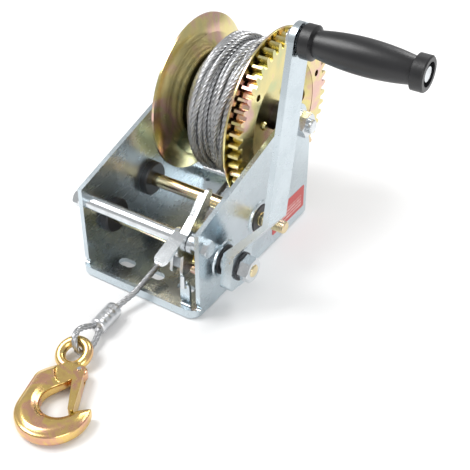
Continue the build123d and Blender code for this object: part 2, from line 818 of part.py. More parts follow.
def pawl_plane(x):
    return Plane(origin=(x, tie_y, tie_z), x_dir=(0, pawl_y, pawl_z), z_dir=(1, 0, 0))


def polar_point(radius, turn):
    return (radius * cos(radians(turn)), radius * sin(radians(turn)))


gap_turn = crank_phase + 180 / crank_teeth + 360 / crank_teeth * 5
nose_out = (cos(radians(gap_turn)), sin(radians(gap_turn)))
nose_side = (-nose_out[1], nose_out[0])


def nose_point(radius, offset):
    """A point of the nose, from the crank axis, as the pawl's own sketch sees it."""
    y = crank_y - tie_y + radius * nose_out[0] + offset * nose_side[0]
    z = crank_z - tie_z + radius * nose_out[1] + offset * nose_side[1]
    return (y, z)


rear_tip = polar_point(rear_reach, 49 + pawl_turn)
anchor_point = polar_point(24.2, -112 + pawl_turn)
front_point = polar_point(13.0, 180 + pawl_turn)
skirt_point = nose_point(25.8, 3.0)


def pawl_hull(x, point, end_radius):
    with BuildSketch(pawl_plane(x)) as outline:
        Circle(pawl_boss_radius)
        with Locations(point):
            Circle(end_radius)
        make_hull()
    return outline.sketch


tab_low = polar_point(tab_reach - pawl_sheet / 2, 180 + pawl_turn)
tab_root = polar_point(tab_root_radius, 150 + pawl_turn)
web_top = polar_point(pawl_boss_radius, 116 + pawl_turn)
finger_bend = polar_point(finger_bend_radius, 62 + pawl_turn)
finger_tip = polar_point(rear_reach - 2.0, 53 + pawl_turn)
with BuildPart() as pawl:
    for point, end_radius in (
        (anchor_point, pawl_anchor_radius),
        (front_point, pawl_front_radius),
        (skirt_point, pawl_skirt_radius),
    ):
        for ear_x in (pawl_left, pawl_right - pawl_sheet):
            extrude(pawl_hull(ear_x, point, end_radius), amount=pawl_sheet)
    extrude(pawl_hull(pawl_right - pawl_sheet, rear_tip, finger_end_radius), amount=pawl_sheet)
    # nose between the two ears
    with BuildSketch(pawl_plane(pawl_left)):
        with BuildLine():
            Polyline(
                nose_point(pawl_nose_depth, -pawl_nose_tip / 2),
                nose_point(crank_tip + 0.8, -pawl_nose_root / 2),
                nose_point(crank_tip + 3.0, -3.0),
                nose_point(28.0, -3.0),
                nose_point(28.0, 4.5),
                nose_point(crank_tip + 2.0, 4.5),
                nose_point(crank_tip + 0.8, pawl_nose_root / 2),
                nose_point(pawl_nose_depth, pawl_nose_tip / 2),
                close=True,
            )
        make_face()
    extrude(amount=pawl_right - pawl_left)
    # full-width web that runs out into the thumb tab, and the narrow finger behind it
    finger_left = pawl_right - finger_width
    for strip_left, spine_points in (
        (pawl_left, (web_top, tab_root, tab_low)),
        (finger_left, (finger_tip, finger_bend, web_top)),
    ):
        with BuildSketch(pawl_plane(strip_left)):
            with BuildLine():
                spine = Polyline(*spine_points)
                offset(spine, amount=pawl_sheet / 2)
            make_face()
        extrude(amount=pawl_right - strip_left)
    with BuildSketch(pawl_plane(pawl_left)):
        Circle(tie_spacer_radius + running_gap)
    extrude(amount=pawl_right - pawl_left, mode=Mode.SUBTRACT)
    # rounded end of the thumb tab, cut from above
    tab_half = (pawl_right - pawl_left) / 2
    tab_middle = pawl_left + tab_half
    with BuildSketch(Plane.XY.offset(tie_z - pawl_boss_radius)):
        with Locations((tab_middle, tie_y - tab_reach)):
            Rectangle(2 * tab_half + 2, 2 * tab_half)
        with Locations((tab_middle, tie_y - tab_reach + tab_half)):
            Circle(tab_half, mode=Mode.SUBTRACT)
    extrude(amount=2 * pawl_boss_radius, mode=Mode.SUBTRACT)
save(pawl, "pawl")

spring_low = lug_height - lug_width / 2 + 1.0
anchor_rest = polar_point(24.2, -112)
spring_top = tie_z + anchor_rest[1] - 4.0 - 0.4
with BuildPart() as pawl_spring:
    with BuildSketch(Plane.XY.offset(spring_low)):
        with Locations((lug_x, lug_y - lug_sheet / 2 - 2.4)):
            Circle(2.1)
    extrude(amount=spring_top - spring_low)
save(pawl_spring, "pawl_spring")

# ================================================================ rope run, ferrule and eye
exit_radius = pack_floor + rope_diameter / 2 + rope_gap
lip_rope_z = lip_height + rope_diameter / 2 + rope_gap
reach = hypot(drum_y - lip_rope_y, drum_z - lip_rope_z)
run_turn = atan2(drum_z - lip_rope_z, drum_y - lip_rope_y) - asin(exit_radius / reach)
tangent = sqrt(reach**2 - exit_radius**2)
rope_points = [
    (rope_exit_x, lip_rope_y + tangent * cos(run_turn), lip_rope_z + tangent * sin(run_turn)),
    (5.0, lip_rope_y, lip_rope_z),
    (2.6, -104.5, 9.8),
    (0.2, -118.0, 8.2),
]
eye_points = [
    (0.4, -144.1, 9.4),
    (-1.2, -157.0, 18.8),
    (3.2, -172.0, 19.6),
    (9.0, -172.6, 4.7),
    (11.0, -158.0, 4.2),
    (5.2, -143.9, 7.6),
]


def corner_radii(points, limits):
    """The largest arc that each corner's two runs leave room for, unless a limit is given."""
    radii = []
    for index in range(1, len(points) - 1):
        before = Vector(points[index]) - Vector(points[index - 1])
        after = Vector(points[index + 1]) - Vector(points[index])
        turn = before.get_angle(after)
        largest = 0.45 * min(before.length, after.length) / tan(radians(turn / 2))
        radii.append(min(largest, limits.get(index, largest)))
    return radii


def rope_tube(points, limits, name):
    radii = corner_radii(points, limits)
    with BuildPart() as tube:
        with BuildLine() as route:
            FilletPolyline(*points, radius=radii)
        start = Vector(points[1]) - Vector(points[0])
        with BuildSketch(Plane(origin=points[0], z_dir=start)):
            Circle(rope_diameter / 2)
        sweep()
    length = route.wires()[0].length
    share = tube.part.volume / (pi * rope_diameter**2 / 4 * length)
    print(name, "radii", [round(r, 1) for r in radii], "length", round(length, 1), "volume share", round(share, 4))
    return tube


rope_run = rope_tube(rope_points, {}, "rope_run")
save(rope_run, "rope_run")
rope_eye = rope_tube(eye_points, {2: 7.1, 3: 7.1}, "rope_eye")
save(rope_eye, "rope_eye")

ferrule_dir = (ferrule_end - ferrule_start).normalized()
ferrule_length = (ferrule_end - ferrule_start).length
with BuildPart() as ferrule:
    extrude(disc(Plane(origin=ferrule_start, z_dir=ferrule_dir), ferrule_radius), amount=ferrule_length)
    fillet(ferrule.edges().filter_by(GeomType.CIRCLE), 2.0)
save(ferrule, "ferrule")

# ================================================================ hook
hook_u = Vector(cos(radians(hook_turn)), sin(radians(hook_turn)), 0)
hook_middle = hook_thickness / 2
latch_outer = hook_neck / 2 + latch_gap + latch_sheet


def hook_plane(z):
    """A level plane with its x from the hook's eye towards its bowl."""
    return Plane(origin=(eye_centre.X, eye_centre.Y, z), x_dir=hook_u, z_dir=(0, 0, 1))


def hook_outline(inset, z):
    with BuildSketch(hook_plane(z)) as outline:
        with Locations(bowl_centre):
            Circle(bowl_outer_radius)
        with Locations(shoulder):
            Circle(shoulder_radius)
        make_hull()
        # the mouth, open past the nose of the hook
        with BuildLine():
            Polyline(*hook_mouth, close=True)
        make_face(mode=Mode.SUBTRACT)
        with BuildSketch(hook_plane(z), mode=Mode.SUBTRACT):
            with Locations(throat_centre):
                Circle(throat_radius)
            with Locations(throat_entry):
                Circle(throat_entry_radius)
            make_hull()
        with BuildSketch(hook_plane(z)):
            with Locations(latch_pivot):
                Circle(latch_lug_radius)
            with Locations(neck_centre):
                Circle(neck_radius)
            with Locations((shoulder[0] - 2.0, shoulder[1] + 3.0)):
                Circle(shoulder_radius)
            make_hull()
        if inset:
            offset(amount=-inset)
    return outline.sketch


with BuildPart() as hook:
    # four slabs step the edges like the rounded edges of a forging
    for inset, share in hook_slabs:
        reach = share * hook_middle
        extrude(hook_outline(inset, hook_middle - reach), amount=2 * reach)
    with BuildSketch(hook_plane(0)):
        with Locations(latch_pivot):
            Circle(latch_pocket_radius)
    extrude(amount=hook_thickness, mode=Mode.SUBTRACT)
    extrude(hook_outline(0, hook_middle - hook_neck / 2), amount=hook_neck)
    eye_plane = Plane(origin=eye_centre, z_dir=(0, -sin(radians(eye_tilt)), cos(radians(eye_tilt))))
    add(Torus(eye_ring_radius, eye_bar_radius, mode=Mode.PRIVATE).moved(eye_plane.location))
    with BuildSketch(hook_plane(0)):
        with Locations(latch_pivot):
            Circle(latch_rivet_radius)
    extrude(amount=hook_thickness, mode=Mode.SUBTRACT)
save(hook, "hook")


def latch_hole(z, radius):
    with BuildSketch(hook_plane(z)) as outline:
        with Locations(latch_pivot):
            Circle(radius)
    return outline.sketch


def latch_outline(z):
    with BuildSketch(hook_plane(z)) as outline:
        with Locations(latch_pivot):
            Circle(latch_root_radius)
        with Locations(latch_reach):
            Circle(latch_tip_radius)
        make_hull()
    return outline.sketch


with BuildPart() as latch:
    extrude(latch_outline(hook_middle - latch_outer), amount=2 * latch_outer)
    # the channel opens towards the throat and straddles the neck
    slot_z = hook_middle - latch_outer + latch_sheet
    with BuildSketch(hook_plane(slot_z)):
        with BuildLine():
            Polyline(
                (latch_pivot[0] - 8.0, latch_pivot[1] + latch_root_radius + 1.0),
                (latch_pivot[0] + 7.0, latch_pivot[1] + latch_root_radius + 1.0),
                (latch_pivot[0] + 7.0, latch_pivot[1] + latch_root_radius - 2 * latch_sheet),
                (latch_reach[0] - 1.0, latch_reach[1] + latch_tip_radius - latch_sheet),
                (latch_reach[0] - 1.0, latch_reach[1] - 8.0),
                (latch_pivot[0] - 8.0, latch_pivot[1] - 8.0),
                close=True,
            )
        make_face()
    extrude(amount=2 * (latch_outer - latch_sheet), mode=Mode.SUBTRACT)
    extrude(latch_hole(hook_middle - latch_outer, latch_rivet_radius + running_gap), amount=2 * latch_outer,
            mode=Mode.SUBTRACT)
save(latch, "hook_latch")

rivet_low = hook_middle - latch_outer - rivet_head
with BuildPart() as latch_rivet:
    extrude(latch_hole(rivet_low, latch_rivet_radius), amount=2 * (latch_outer + rivet_head))
save(latch_rivet, "latch_rivet")
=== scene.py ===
import json
import math

import bmesh
import bpy
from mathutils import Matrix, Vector


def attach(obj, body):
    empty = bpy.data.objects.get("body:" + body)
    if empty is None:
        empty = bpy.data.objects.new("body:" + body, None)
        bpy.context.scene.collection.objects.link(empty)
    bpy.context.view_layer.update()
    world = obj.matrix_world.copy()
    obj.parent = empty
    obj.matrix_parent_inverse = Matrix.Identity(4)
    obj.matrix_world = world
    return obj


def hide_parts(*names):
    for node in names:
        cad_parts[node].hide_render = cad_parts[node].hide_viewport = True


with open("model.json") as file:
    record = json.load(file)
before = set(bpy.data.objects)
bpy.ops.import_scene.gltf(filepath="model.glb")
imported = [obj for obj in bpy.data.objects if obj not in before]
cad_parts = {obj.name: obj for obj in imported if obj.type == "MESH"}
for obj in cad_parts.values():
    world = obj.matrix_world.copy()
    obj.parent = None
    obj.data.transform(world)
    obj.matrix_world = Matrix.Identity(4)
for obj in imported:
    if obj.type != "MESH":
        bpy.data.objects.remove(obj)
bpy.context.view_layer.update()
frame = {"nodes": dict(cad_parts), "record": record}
nodes = frame["nodes"]
scene = bpy.context.scene
print("frame loaded:", len(nodes), "nodes")

# camera: stands in front of the crank side and looks down on the winch
camera = {
    "place": (0.3806, -0.5397, 0.5107),
    "azimuth": 32.76,
    "elevation": 37.31,
    "lens": 71.7,
    "sensor": 36.0,
    "shift": (0.012, -0.003),
}
camData = bpy.data.cameras.new("camera")
camData.lens = camera["lens"]
camData.sensor_width = camera["sensor"]
camData.shift_x, camData.shift_y = camera["shift"]
camData.clip_start, camData.clip_end = 0.01, 50
camObject = bpy.data.objects.new("camera", camData)
scene.collection.objects.link(camObject)
camObject.location = camera["place"]
camObject.rotation_euler = (math.radians(90 - camera["elevation"]), 0, math.radians(camera["azimuth"]))
scene.camera = camObject


# materials

class Sock:
    # wraps a socket so that shader maths reads as plain expressions
    def __init__(self, tree, socket):
        self.tree = tree
        self.socket = socket

    def math(self, operation, *others):
        node = self.tree.nodes.new("ShaderNodeMath")
        node.operation = operation
        for i, value in enumerate((self,) + others):
            if isinstance(value, Sock):
                self.tree.links.new(value.socket, node.inputs[i])
            else:
                node.inputs[i].default_value = value
        return Sock(self.tree, node.outputs[0])

    def flipped(self, operation, first):
        node = self.tree.nodes.new("ShaderNodeMath")
        node.operation = operation
        node.inputs[0].default_value = first
        self.tree.links.new(self.socket, node.inputs[1])
        return Sock(self.tree, node.outputs[0])

    def __add__(self, other):
        return self.math("ADD", other)

    def __sub__(self, other):
        return self.math("SUBTRACT", other)

    def __rsub__(self, other):
        return self.flipped("SUBTRACT", other)

    def __mul__(self, other):
        return self.math("MULTIPLY", other)

    def __truediv__(self, other):
        return self.math("DIVIDE", other)

    def clamp(self):
        return self.math("ADD", 0.0).limited()

    def limited(self):
        self.socket.node.use_clamp = True
        return self


class Paint:
    # one material and the nodes that make it
    def __init__(self, name, **values):
        self.material = bpy.data.materials.new(name)
        self.material.use_nodes = True
        self.tree = self.material.node_tree
        self.shader = self.tree.nodes["Principled BSDF"]
        for key, value in values.items():
            self.shader.inputs[key.replace("_", " ")].default_value = value

    def node(self, kind, settings=None, **values):
        node = self.tree.nodes.new("ShaderNode" + kind)
        for key, value in (settings or {}).items():
            if key == "stops":
                ramp = node.color_ramp
                while len(ramp.elements) < len(value):
                    ramp.elements.new(0.5)
                for element, (place, colour) in zip(ramp.elements, value):
                    element.position = place
                    element.color = (*colour, 1)
            else:
                setattr(node, key, value)
        for key, value in values.items():
            target = node.inputs[int(key[2:])] if key.startswith("in") and key[2:].isdigit() \
                else node.inputs[key.replace("_", " ")]
            if isinstance(value, Sock):
                self.tree.links.new(value.socket, target)
            else:
                target.default_value = value
        return Sock(self.tree, node.outputs[0])

    def place(self):
        coordinates = self.tree.nodes.new("ShaderNodeTexCoord")
        return Sock(self.tree, coordinates.outputs["Object"])

    def noise(self, vector, scale, detail=4.0, roughness=0.55, distortion=0.0):
        return self.node("TexNoise", None, Vector=vector, Scale=scale, Detail=detail,
                         Roughness=roughness, Distortion=distortion)

    def ramp(self, factor, stops):
        return self.node("ValToRGB", {"stops": stops}, Fac=factor)

    def spread(self, factor, low, high, toLow=0.0, toHigh=1.0):
        return self.node("MapRange", None, Value=factor, From_Min=low, From_Max=high,
                         To_Min=toLow, To_Max=toHigh)

    def mix(self, factor, first, second):
        node = self.tree.nodes.new("ShaderNodeMix")
        node.data_type = "RGBA"
        for socket, value in ((node.inputs[0], factor), (node.inputs[6], first), (node.inputs[7], second)):
            if isinstance(value, Sock):
                self.tree.links.new(value.socket, socket)
            elif isinstance(value, tuple):
                socket.default_value = (*value, 1)
            else:
                socket.default_value = value
        return Sock(self.tree, node.outputs[2])

    def bump(self, height, strength, distance):
        bump = self.node("Bump", None, Strength=strength, Distance=distance, Height=height)
        self.feed("Normal", bump)

    def feed(self, name, value):
        self.tree.links.new(value.socket, self.shader.inputs[name])


def platedZinc(name, base, dark, roughness, cloud=38.0, grain=900.0):
    # bright zinc plate: faint clouds, a fine drawn grain and small handling scratches
    paint = Paint(name, Metallic=1.0, Roughness=roughness)
    place = paint.place()
    clouds = paint.spread(paint.noise(place, cloud, 5.0, 0.6), 0.35, 0.68)
    speckle = paint.noise(place, grain, 3.0, 0.7)
    stretched = paint.node("Mapping", None, Vector=place, Scale=(1.0, 0.12, 1.0))
    scratches = paint.spread(paint.noise(stretched, grain * 0.8, 2.0, 0.6), 0.60, 0.78).clamp()
    paint.feed("Base Color", paint.mix((clouds * 0.6 + scratches * 0.25).clamp(), base, dark))
    paint.feed("Roughness", (clouds * 0.12 + speckle * 0.08 + scratches * 0.1 + roughness - 0.08).clamp())
    paint.bump(speckle + scratches * 0.5, 0.10, 0.0002)
    return paint.material


def passivated(name, base, tints, roughness, wave=16.0):
    # yellow passivated zinc: the film's thickness wanders, so gold runs into green and pink
    paint = Paint(name, Metallic=1.0, Roughness=roughness)
    place = paint.place()
    film = paint.noise(place, wave, 3.0, 0.5, 0.9)
    fine = paint.noise(place, wave * 5.0, 4.0, 0.6)
    gold, green, pink, pale = tints
    colour = paint.ramp((film * 0.8 + fine * 0.2).clamp(),
                        [(0.30, green), (0.42, base), (0.50, gold), (0.58, pink), (0.66, base), (0.78, pale)])
    speckle = paint.noise(place, 1100.0, 2.0, 0.6)
    paint.feed("Base Color", colour)
    paint.feed("Roughness", (fine * 0.16 + speckle * 0.06 + roughness - 0.1).clamp())
    paint.bump(speckle, 0.08, 0.0002)
    return paint.material


zinc = platedZinc("zinc plate", (0.60, 0.67, 0.71), (0.51, 0.58, 0.62), 0.25)
zincBright = platedZinc("bright zinc", (0.74, 0.77, 0.79), (0.50, 0.52, 0.54), 0.2, cloud=120.0)
yellowZinc = passivated("yellow zinc", (0.62, 0.56, 0.28),
                        ((0.72, 0.62, 0.28), (0.36, 0.52, 0.30), (0.70, 0.44, 0.40), (0.50, 0.60, 0.50)),
                        0.22)
shaftZinc = passivated("shaft zinc", (0.76, 0.64, 0.40),
                       ((0.82, 0.68, 0.40), (0.62, 0.64, 0.44), (0.78, 0.58, 0.46), (0.86, 0.80, 0.62)),
                       0.2, 40.0)
hookZinc = passivated("hook zinc", (0.74, 0.50, 0.20),
                      ((0.80, 0.58, 0.20), (0.52, 0.54, 0.24), (0.72, 0.40, 0.28), (0.84, 0.66, 0.36)),
                      0.24, 30.0)


def blackSteel():
    paint = Paint("blackened steel", Metallic=0.9, Roughness=0.42)
    place = paint.place()
    mottle = paint.noise(place, 160.0, 4.0, 0.6)
    paint.feed("Base Color", paint.mix(mottle, (0.03, 0.03, 0.033), (0.10, 0.10, 0.105)))
    paint.feed("Roughness", mottle * 0.25 + 0.3)
    paint.bump(paint.noise(place, 900.0, 2.0), 0.12, 0.0002)
    return paint.material


def moulded(name, colour, sheen, grain, roughness):
    # moulded plastic: fine spark-eroded grain, duller where hands rub it
    paint = Paint(name, Roughness=roughness, Coat_Weight=sheen, Coat_Roughness=0.35)
    place = paint.place()
    fine = paint.noise(place, grain, 2.0, 0.5)
    rub = paint.noise(place, 55.0, 3.0, 0.6)
    paint.feed("Base Color", paint.mix(rub, colour, tuple(c * 1.7 + 0.004 for c in colour)))
    paint.feed("Roughness", (rub * 0.18 + roughness - 0.09).clamp())
    paint.bump(fine, 0.25, 0.0003)
    return paint.material


def aluminiumPress():
    paint = Paint("pressed aluminium", Metallic=1.0, Roughness=0.34)
    place = paint.place()
    smear = paint.noise(paint.node("Mapping", None, Vector=place, Scale=(1.0, 0.3, 1.0)), 260.0, 3.0)
    paint.feed("Base Color", paint.mix(smear, (0.78, 0.79, 0.80), (0.55, 0.56, 0.58)))
    paint.feed("Roughness", smear * 0.2 + 0.25)
    paint.bump(smear, 0.3, 0.0004)
    return paint.material


def ropeWire():
    # drawn galvanised wire, darker between the strands where grease and dust sit
    paint = Paint("rope wire", Metallic=1.0, Roughness=0.36)
    place = paint.place()
    dirt = paint.noise(place, 110.0, 4.0, 0.65)
    fine = paint.noise(place, 1500.0, 2.0, 0.6)
    paint.feed("Base Color", paint.mix(dirt, (0.60, 0.61, 0.62), (0.28, 0.28, 0.29)))
    paint.feed("Roughness", dirt * 0.2 + fine * 0.1 + 0.24)
    paint.bump(fine, 0.15, 0.0002)
    return paint.material


def ropeShadeSkin():
    # painted shade: a near-black skin standing in for the shadow between the wound turns
    paint = Paint("rope shadow", Metallic=0.6, Roughness=0.6)
    place = paint.place()
    paint.feed("Base Color", paint.mix(paint.noise(place, 300.0), (0.03, 0.03, 0.03), (0.10, 0.10, 0.10)))
    paint.feed("Roughness", paint.noise(place, 200.0) * 0.3 + 0.45)
    return paint.material


def labelFilm():
    # red film with pale bars where a maker prints its ratings
    paint = Paint("label film", Roughness=0.35, Coat_Weight=0.4, Coat_Roughness=0.15)
    place = paint.place()
    split = paint.node("SeparateXYZ", None, Vector=place)
    along = Sock(paint.tree, split.socket.node.outputs[1])
    up = Sock(paint.tree, split.socket.node.outputs[2])
    line = paint.node("Math", {"operation": "PINGPONG"}, in0=up * 1000, in1=1.7)
    inside = along.math("GREATER_THAN", 0.040) * along.math("LESS_THAN", 0.080)
    rows = up.math("GREATER_THAN", 0.0135) * up.math("LESS_THAN", 0.0255)
    bars = line.math("GREATER_THAN", 1.15) * inside * rows
    blotch = paint.noise(place, 900.0, 1.0)
    ink = bars * blotch.math("GREATER_THAN", 0.42)
    paint.feed("Base Color", paint.mix(ink, (0.50, 0.022, 0.018), (0.80, 0.72, 0.68)))
    paint.feed("Roughness", paint.noise(place, 220.0) * 0.15 + 0.28)
    return paint.material


black = blackSteel()
bushPlastic = moulded("bush plastic", (0.012, 0.012, 0.014), 0.1, 900.0, 0.42)
gripPlastic = moulded("grip plastic", (0.004, 0.004, 0.005), 0.15, 700.0, 0.38)
aluminium = aluminiumPress()
wire = ropeWire()
wireShadow = ropeShadeSkin()
label = labelFilm()

finishes = {
    "zinc": zinc, "zinc_bright": zincBright, "yellow_zinc": yellowZinc, "hook_zinc": hookZinc,
    "dark_steel": black, "spring_steel": zincBright, "wire_rope": wire, "aluminium": aluminium,
    "bush": bushPlastic, "grip_plastic": gripPlastic, "label": label,
}
shaftNodes = ("middle_shaft", "crank_shaft")
for part in frame["record"]["subparts"]:
    skin = shaftZinc if part["node"] in shaftNodes else finishes[part["material_slot"]]
    mesh = nodes[part["node"]].data
    mesh.materials.clear()
    mesh.materials.append(skin)
print("materials made:", len(bpy.data.materials))


def addPiece(name, mesh, body, skin, stands=()):
    piece = bpy.data.objects.new(name, mesh)
    scene.collection.objects.link(piece)
    mesh.materials.clear()
    mesh.materials.append(skin)
    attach(piece, body)
    if stands:
        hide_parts(*stands)
    return piece


def smooth(mesh):
    for face in mesh.polygons:
        face.use_smooth = True


# the free rope: route points repeat the CAD, in metres

rope = {
    "diameter": 0.005,
    "lay": 0.030,           # length of one full turn of a strand
    "groove": 0.3,          # how deep the outline dips between strands, of the radius
}
runPoints = [
    (0.0060, 0.07878, 0.04948),
    (0.0050, -0.0910, 0.0124),
    (0.0026, -0.1045, 0.0098),
    (0.0002, -0.1180, 0.0082),
]
eyePoints = [
    (0.0004, -0.1441, 0.0094),
    (-0.0012, -0.1570, 0.0188),
    (0.0032, -0.1720, 0.0196),
    (0.0090, -0.1726, 0.0047),
    (0.0110, -0.1580, 0.0042),
    (0.0052, -0.1439, 0.0076),
]


def nurbsLine(name, points, resolution=24):
    curve = bpy.data.curves.new(name, "CURVE")
    curve.dimensions = "3D"
    curve.resolution_u = resolution
    spline = curve.splines.new("NURBS")
    spline.points.add(len(points) - 1)
    for target, point in zip(spline.points, points):
        target.co = (*point, 1.0)
    spline.order_u = 3
    spline.use_endpoint_u = True
    return bpy.data.objects.new(name, curve)


def linePoints(holder, spacing=0.001):
    # points read from the spline itself, evenly spaced
    scene.collection.objects.link(holder)
    bpy.context.view_layer.update()
    mesh = bpy.data.meshes.new_from_object(holder.evaluated_get(bpy.context.evaluated_depsgraph_get()))
    raw = [v.co.copy() for v in mesh.vertices]
    bpy.data.meshes.remove(mesh)
    bpy.data.objects.remove(holder)
    return evenly(raw, spacing)


def lineLength(points):
    return sum((b - a).length for a, b in zip(points, points[1:]))


def evenly(raw, spacing):
    lengths = [0.0]
    for a, b in zip(raw, raw[1:]):
        lengths.append(lengths[-1] + (b - a).length)
    count = max(2, round(lengths[-1] / spacing))
    result, k = [], 0
    for i in range(count + 1):
        target = lengths[-1] * i / count
        while k < len(lengths) - 2 and lengths[k + 1] < target:
            k += 1
        part = (target - lengths[k]) / max(lengths[k + 1] - lengths[k], 1e-9)
        result.append(raw[k].lerp(raw[k + 1], part))
    return result


class Nodes:
    # a geometry tree with named inputs, written as calls
    def __init__(self, name, inputs):
        self.tree = bpy.data.node_groups.new(name, "GeometryNodeTree")
        self.tree.interface.new_socket("Geometry", in_out="INPUT", socket_type="NodeSocketGeometry")
        for label in inputs:
            self.tree.interface.new_socket(label, in_out="INPUT", socket_type="NodeSocketFloat")
        self.tree.interface.new_socket("Geometry", in_out="OUTPUT", socket_type="NodeSocketGeometry")
        self.entry = self.tree.nodes.new("NodeGroupInput")
        self.leave = self.tree.nodes.new("NodeGroupOutput")

    def given(self, label):
        return Sock(self.tree, self.entry.outputs[label])

    def add(self, kind, out=0, settings=None, **values):
        node = self.tree.nodes.new(kind)
        for key, value in (settings or {}).items():
            setattr(node, key, value)
        for key, value in values.items():
            target = node.inputs[key.replace("_", " ")]
            if isinstance(value, Sock):
                self.tree.links.new(value.socket, target)
            else:
                target.default_value = value
        return Sock(self.tree, node.outputs[out])

    def close(self, shape, skin):
        real = self.add("GeometryNodeRealizeInstances", Geometry=shape)
        shown = self.add("GeometryNodeSetMaterial", Geometry=real, Material=skin)
        self.tree.links.new(shown.socket, self.leave.inputs[0])
        return self.tree


def laidTree(name, skin, sides):
    # a lobed outline swept along a line and turned once per lay: six strands in a rope
    nodes = Nodes(name, ("Radius", "Lay", "Groove"))
    line = nodes.add("GeometryNodeMeshToCurve", Mesh=nodes.given("Geometry"))
    along = nodes.add("GeometryNodeSplineParameter", 1)
    tilt = along / nodes.given("Lay") * (2 * math.pi)
    turned = nodes.add("GeometryNodeSetCurveTilt", Curve=line, Tilt=tilt)
    outline = nodes.add("GeometryNodeCurvePrimitiveCircle", Resolution=sides, Radius=1.0)
    lobe = (nodes.add("GeometryNodeInputIndex") * (math.pi / 2)).math("COSINE")
    reach = nodes.given("Radius") * (1.0 - nodes.given("Groove") * (0.5 - lobe * 0.5))
    place = nodes.add("ShaderNodeVectorMath", 0, {"operation": "SCALE"},
                      Vector=nodes.add("GeometryNodeInputPosition"), Scale=reach)
    profile = nodes.add("GeometryNodeSetPosition", Geometry=outline, Position=place)
    body = nodes.add("GeometryNodeCurveToMesh", Curve=turned, Profile_Curve=profile, Fill_Caps=True)
    return nodes.close(nodes.add("GeometryNodeSetShadeSmooth", Geometry=body), skin)


def bake(holder):
    # the evaluated shape as a plain mesh; the holder goes
    scene.collection.objects.link(holder)
    bpy.context.view_layer.update()
    depsgraph = bpy.context.evaluated_depsgraph_get()
    mesh = bpy.data.meshes.new_from_object(holder.evaluated_get(depsgraph), depsgraph=depsgraph)
    holder.modifiers.clear()
    bpy.data.objects.remove(holder)
    return mesh


def swept(name, lines, skin, radius, lay=1.0, groove=0.0, sides=24):
    points, links = [], []
    for line in lines:
        start = len(points)
        points += [tuple(p) for p in line]
        links += [(i, i + 1) for i in range(start, len(points) - 1)]
    mesh = bpy.data.meshes.new(name + " line")
    mesh.from_pydata(points, links, [])
    holder = bpy.data.objects.new(name + " line", mesh)
    modifier = holder.modifiers.new("laid", "NODES")
    modifier.node_group = laidTree(name, skin, sides)
    values = {"Radius": radius, "Lay": lay, "Groove": groove}
    for item in modifier.node_group.interface.items_tree:
        if item.in_out == "INPUT" and item.name in values:
            modifier[item.identifier] = values[item.name]
    made = bake(holder)
    made.name = name
    return made


def laidRope(name, lines):
    return swept(name, lines, wire, rope["diameter"] / 2, rope["lay"], rope["groove"])


runLine = linePoints(nurbsLine("ropeRunLine", runPoints))
eyeLine = linePoints(nurbsLine("ropeEyeLine", eyePoints))
ropeRun = addPiece("rope_run_strands", laidRope("rope_run_strands", [runLine]), "body", wire,
                   ["rope_run"])
ropeEye = addPiece("rope_eye_strands", laidRope("rope_eye_strands", [eyeLine]), "body", wire,
                   ["rope_eye"])
print("rope laid:", len(runLine) + len(eyeLine), "points")


# the ferrule that is pressed on the rope

ferrule = {
    "start": (0.0002, -0.1180, 0.0082),
    "end": (0.0026, -0.1440, 0.0086),
    "radius": 0.0071,
    "segments": 48,
    "mouth": [(0.0, 0.0050), (0.012, 0.0060), (0.045, 0.0068), (0.09, 0.0071)],
    "barrel": 0.82,         # the plain part's share of the length
    "tail": [(0.955, 0.0068), (0.988, 0.0060), (1.0, 0.0050)],
    "crimps": (0.26, 0.50, 0.74),
    "crimpWidth": 0.055,
    "crimpDepth": 0.00035,
    "crimpRound": 0.35,     # how much of a crimp goes all the way round
}


def sweptProfile(name, start, end, profile, segments, shape=None):
    # a turned shape along a line: profile holds (place along, radius)
    bm = bmesh.new()
    axis = Vector(end) - Vector(start)
    length = axis.length
    axis.normalize()
    side = axis.orthogonal().normalized()
    across = axis.cross(side)
    rings = []
    for place, radius in profile:
        ring = []
        for j in range(segments):
            a = 2 * math.pi * j / segments
            r = shape(place, radius, a) if shape else radius
            point = Vector(start) + axis * length * place + (side * math.cos(a) + across * math.sin(a)) * r
            ring.append(bm.verts.new(point))
        rings.append(ring)
    for first, second in zip(rings, rings[1:]):
        for j in range(segments):
            k = (j + 1) % segments
            bm.faces.new((first[j], first[k], second[k], second[j]))
    bm.faces.new(list(reversed(rings[0])))
    bm.faces.new(rings[-1])
    bmesh.ops.recalc_face_normals(bm, faces=bm.faces)
    mesh = bpy.data.meshes.new(name)
    bm.to_mesh(mesh)
    bm.free()
    smooth(mesh)
    return mesh


def ferruleRadius(place, radius, angle):
    dent = sum(math.exp(-((place - c) / ferrule["crimpWidth"]) ** 2) for c in ferrule["crimps"])
    flats = 0.5 + 0.5 * math.cos(2 * angle)
    allRound = ferrule["crimpRound"]
    return radius - ferrule["crimpDepth"] * dent * (allRound + (1 - allRound) * flats)


barrelStart = ferrule["mouth"][-1][0]
rings = ferrule["segments"]
ferruleProfile = list(ferrule["mouth"])
for i in range(1, rings + 1):
    ferruleProfile.append((barrelStart + ferrule["barrel"] * i / rings, ferrule["radius"]))
ferruleProfile += ferrule["tail"]
ferruleMesh = sweptProfile("ferrule_pressed", ferrule["start"], ferrule["end"], ferruleProfile, rings,
                           ferruleRadius)
ferrulePiece = addPiece("ferrule_pressed", ferruleMesh, "body", aluminium, ["ferrule"])


# the wound rope: an even layer with loose turns over it, and a clear lane where the rope runs off

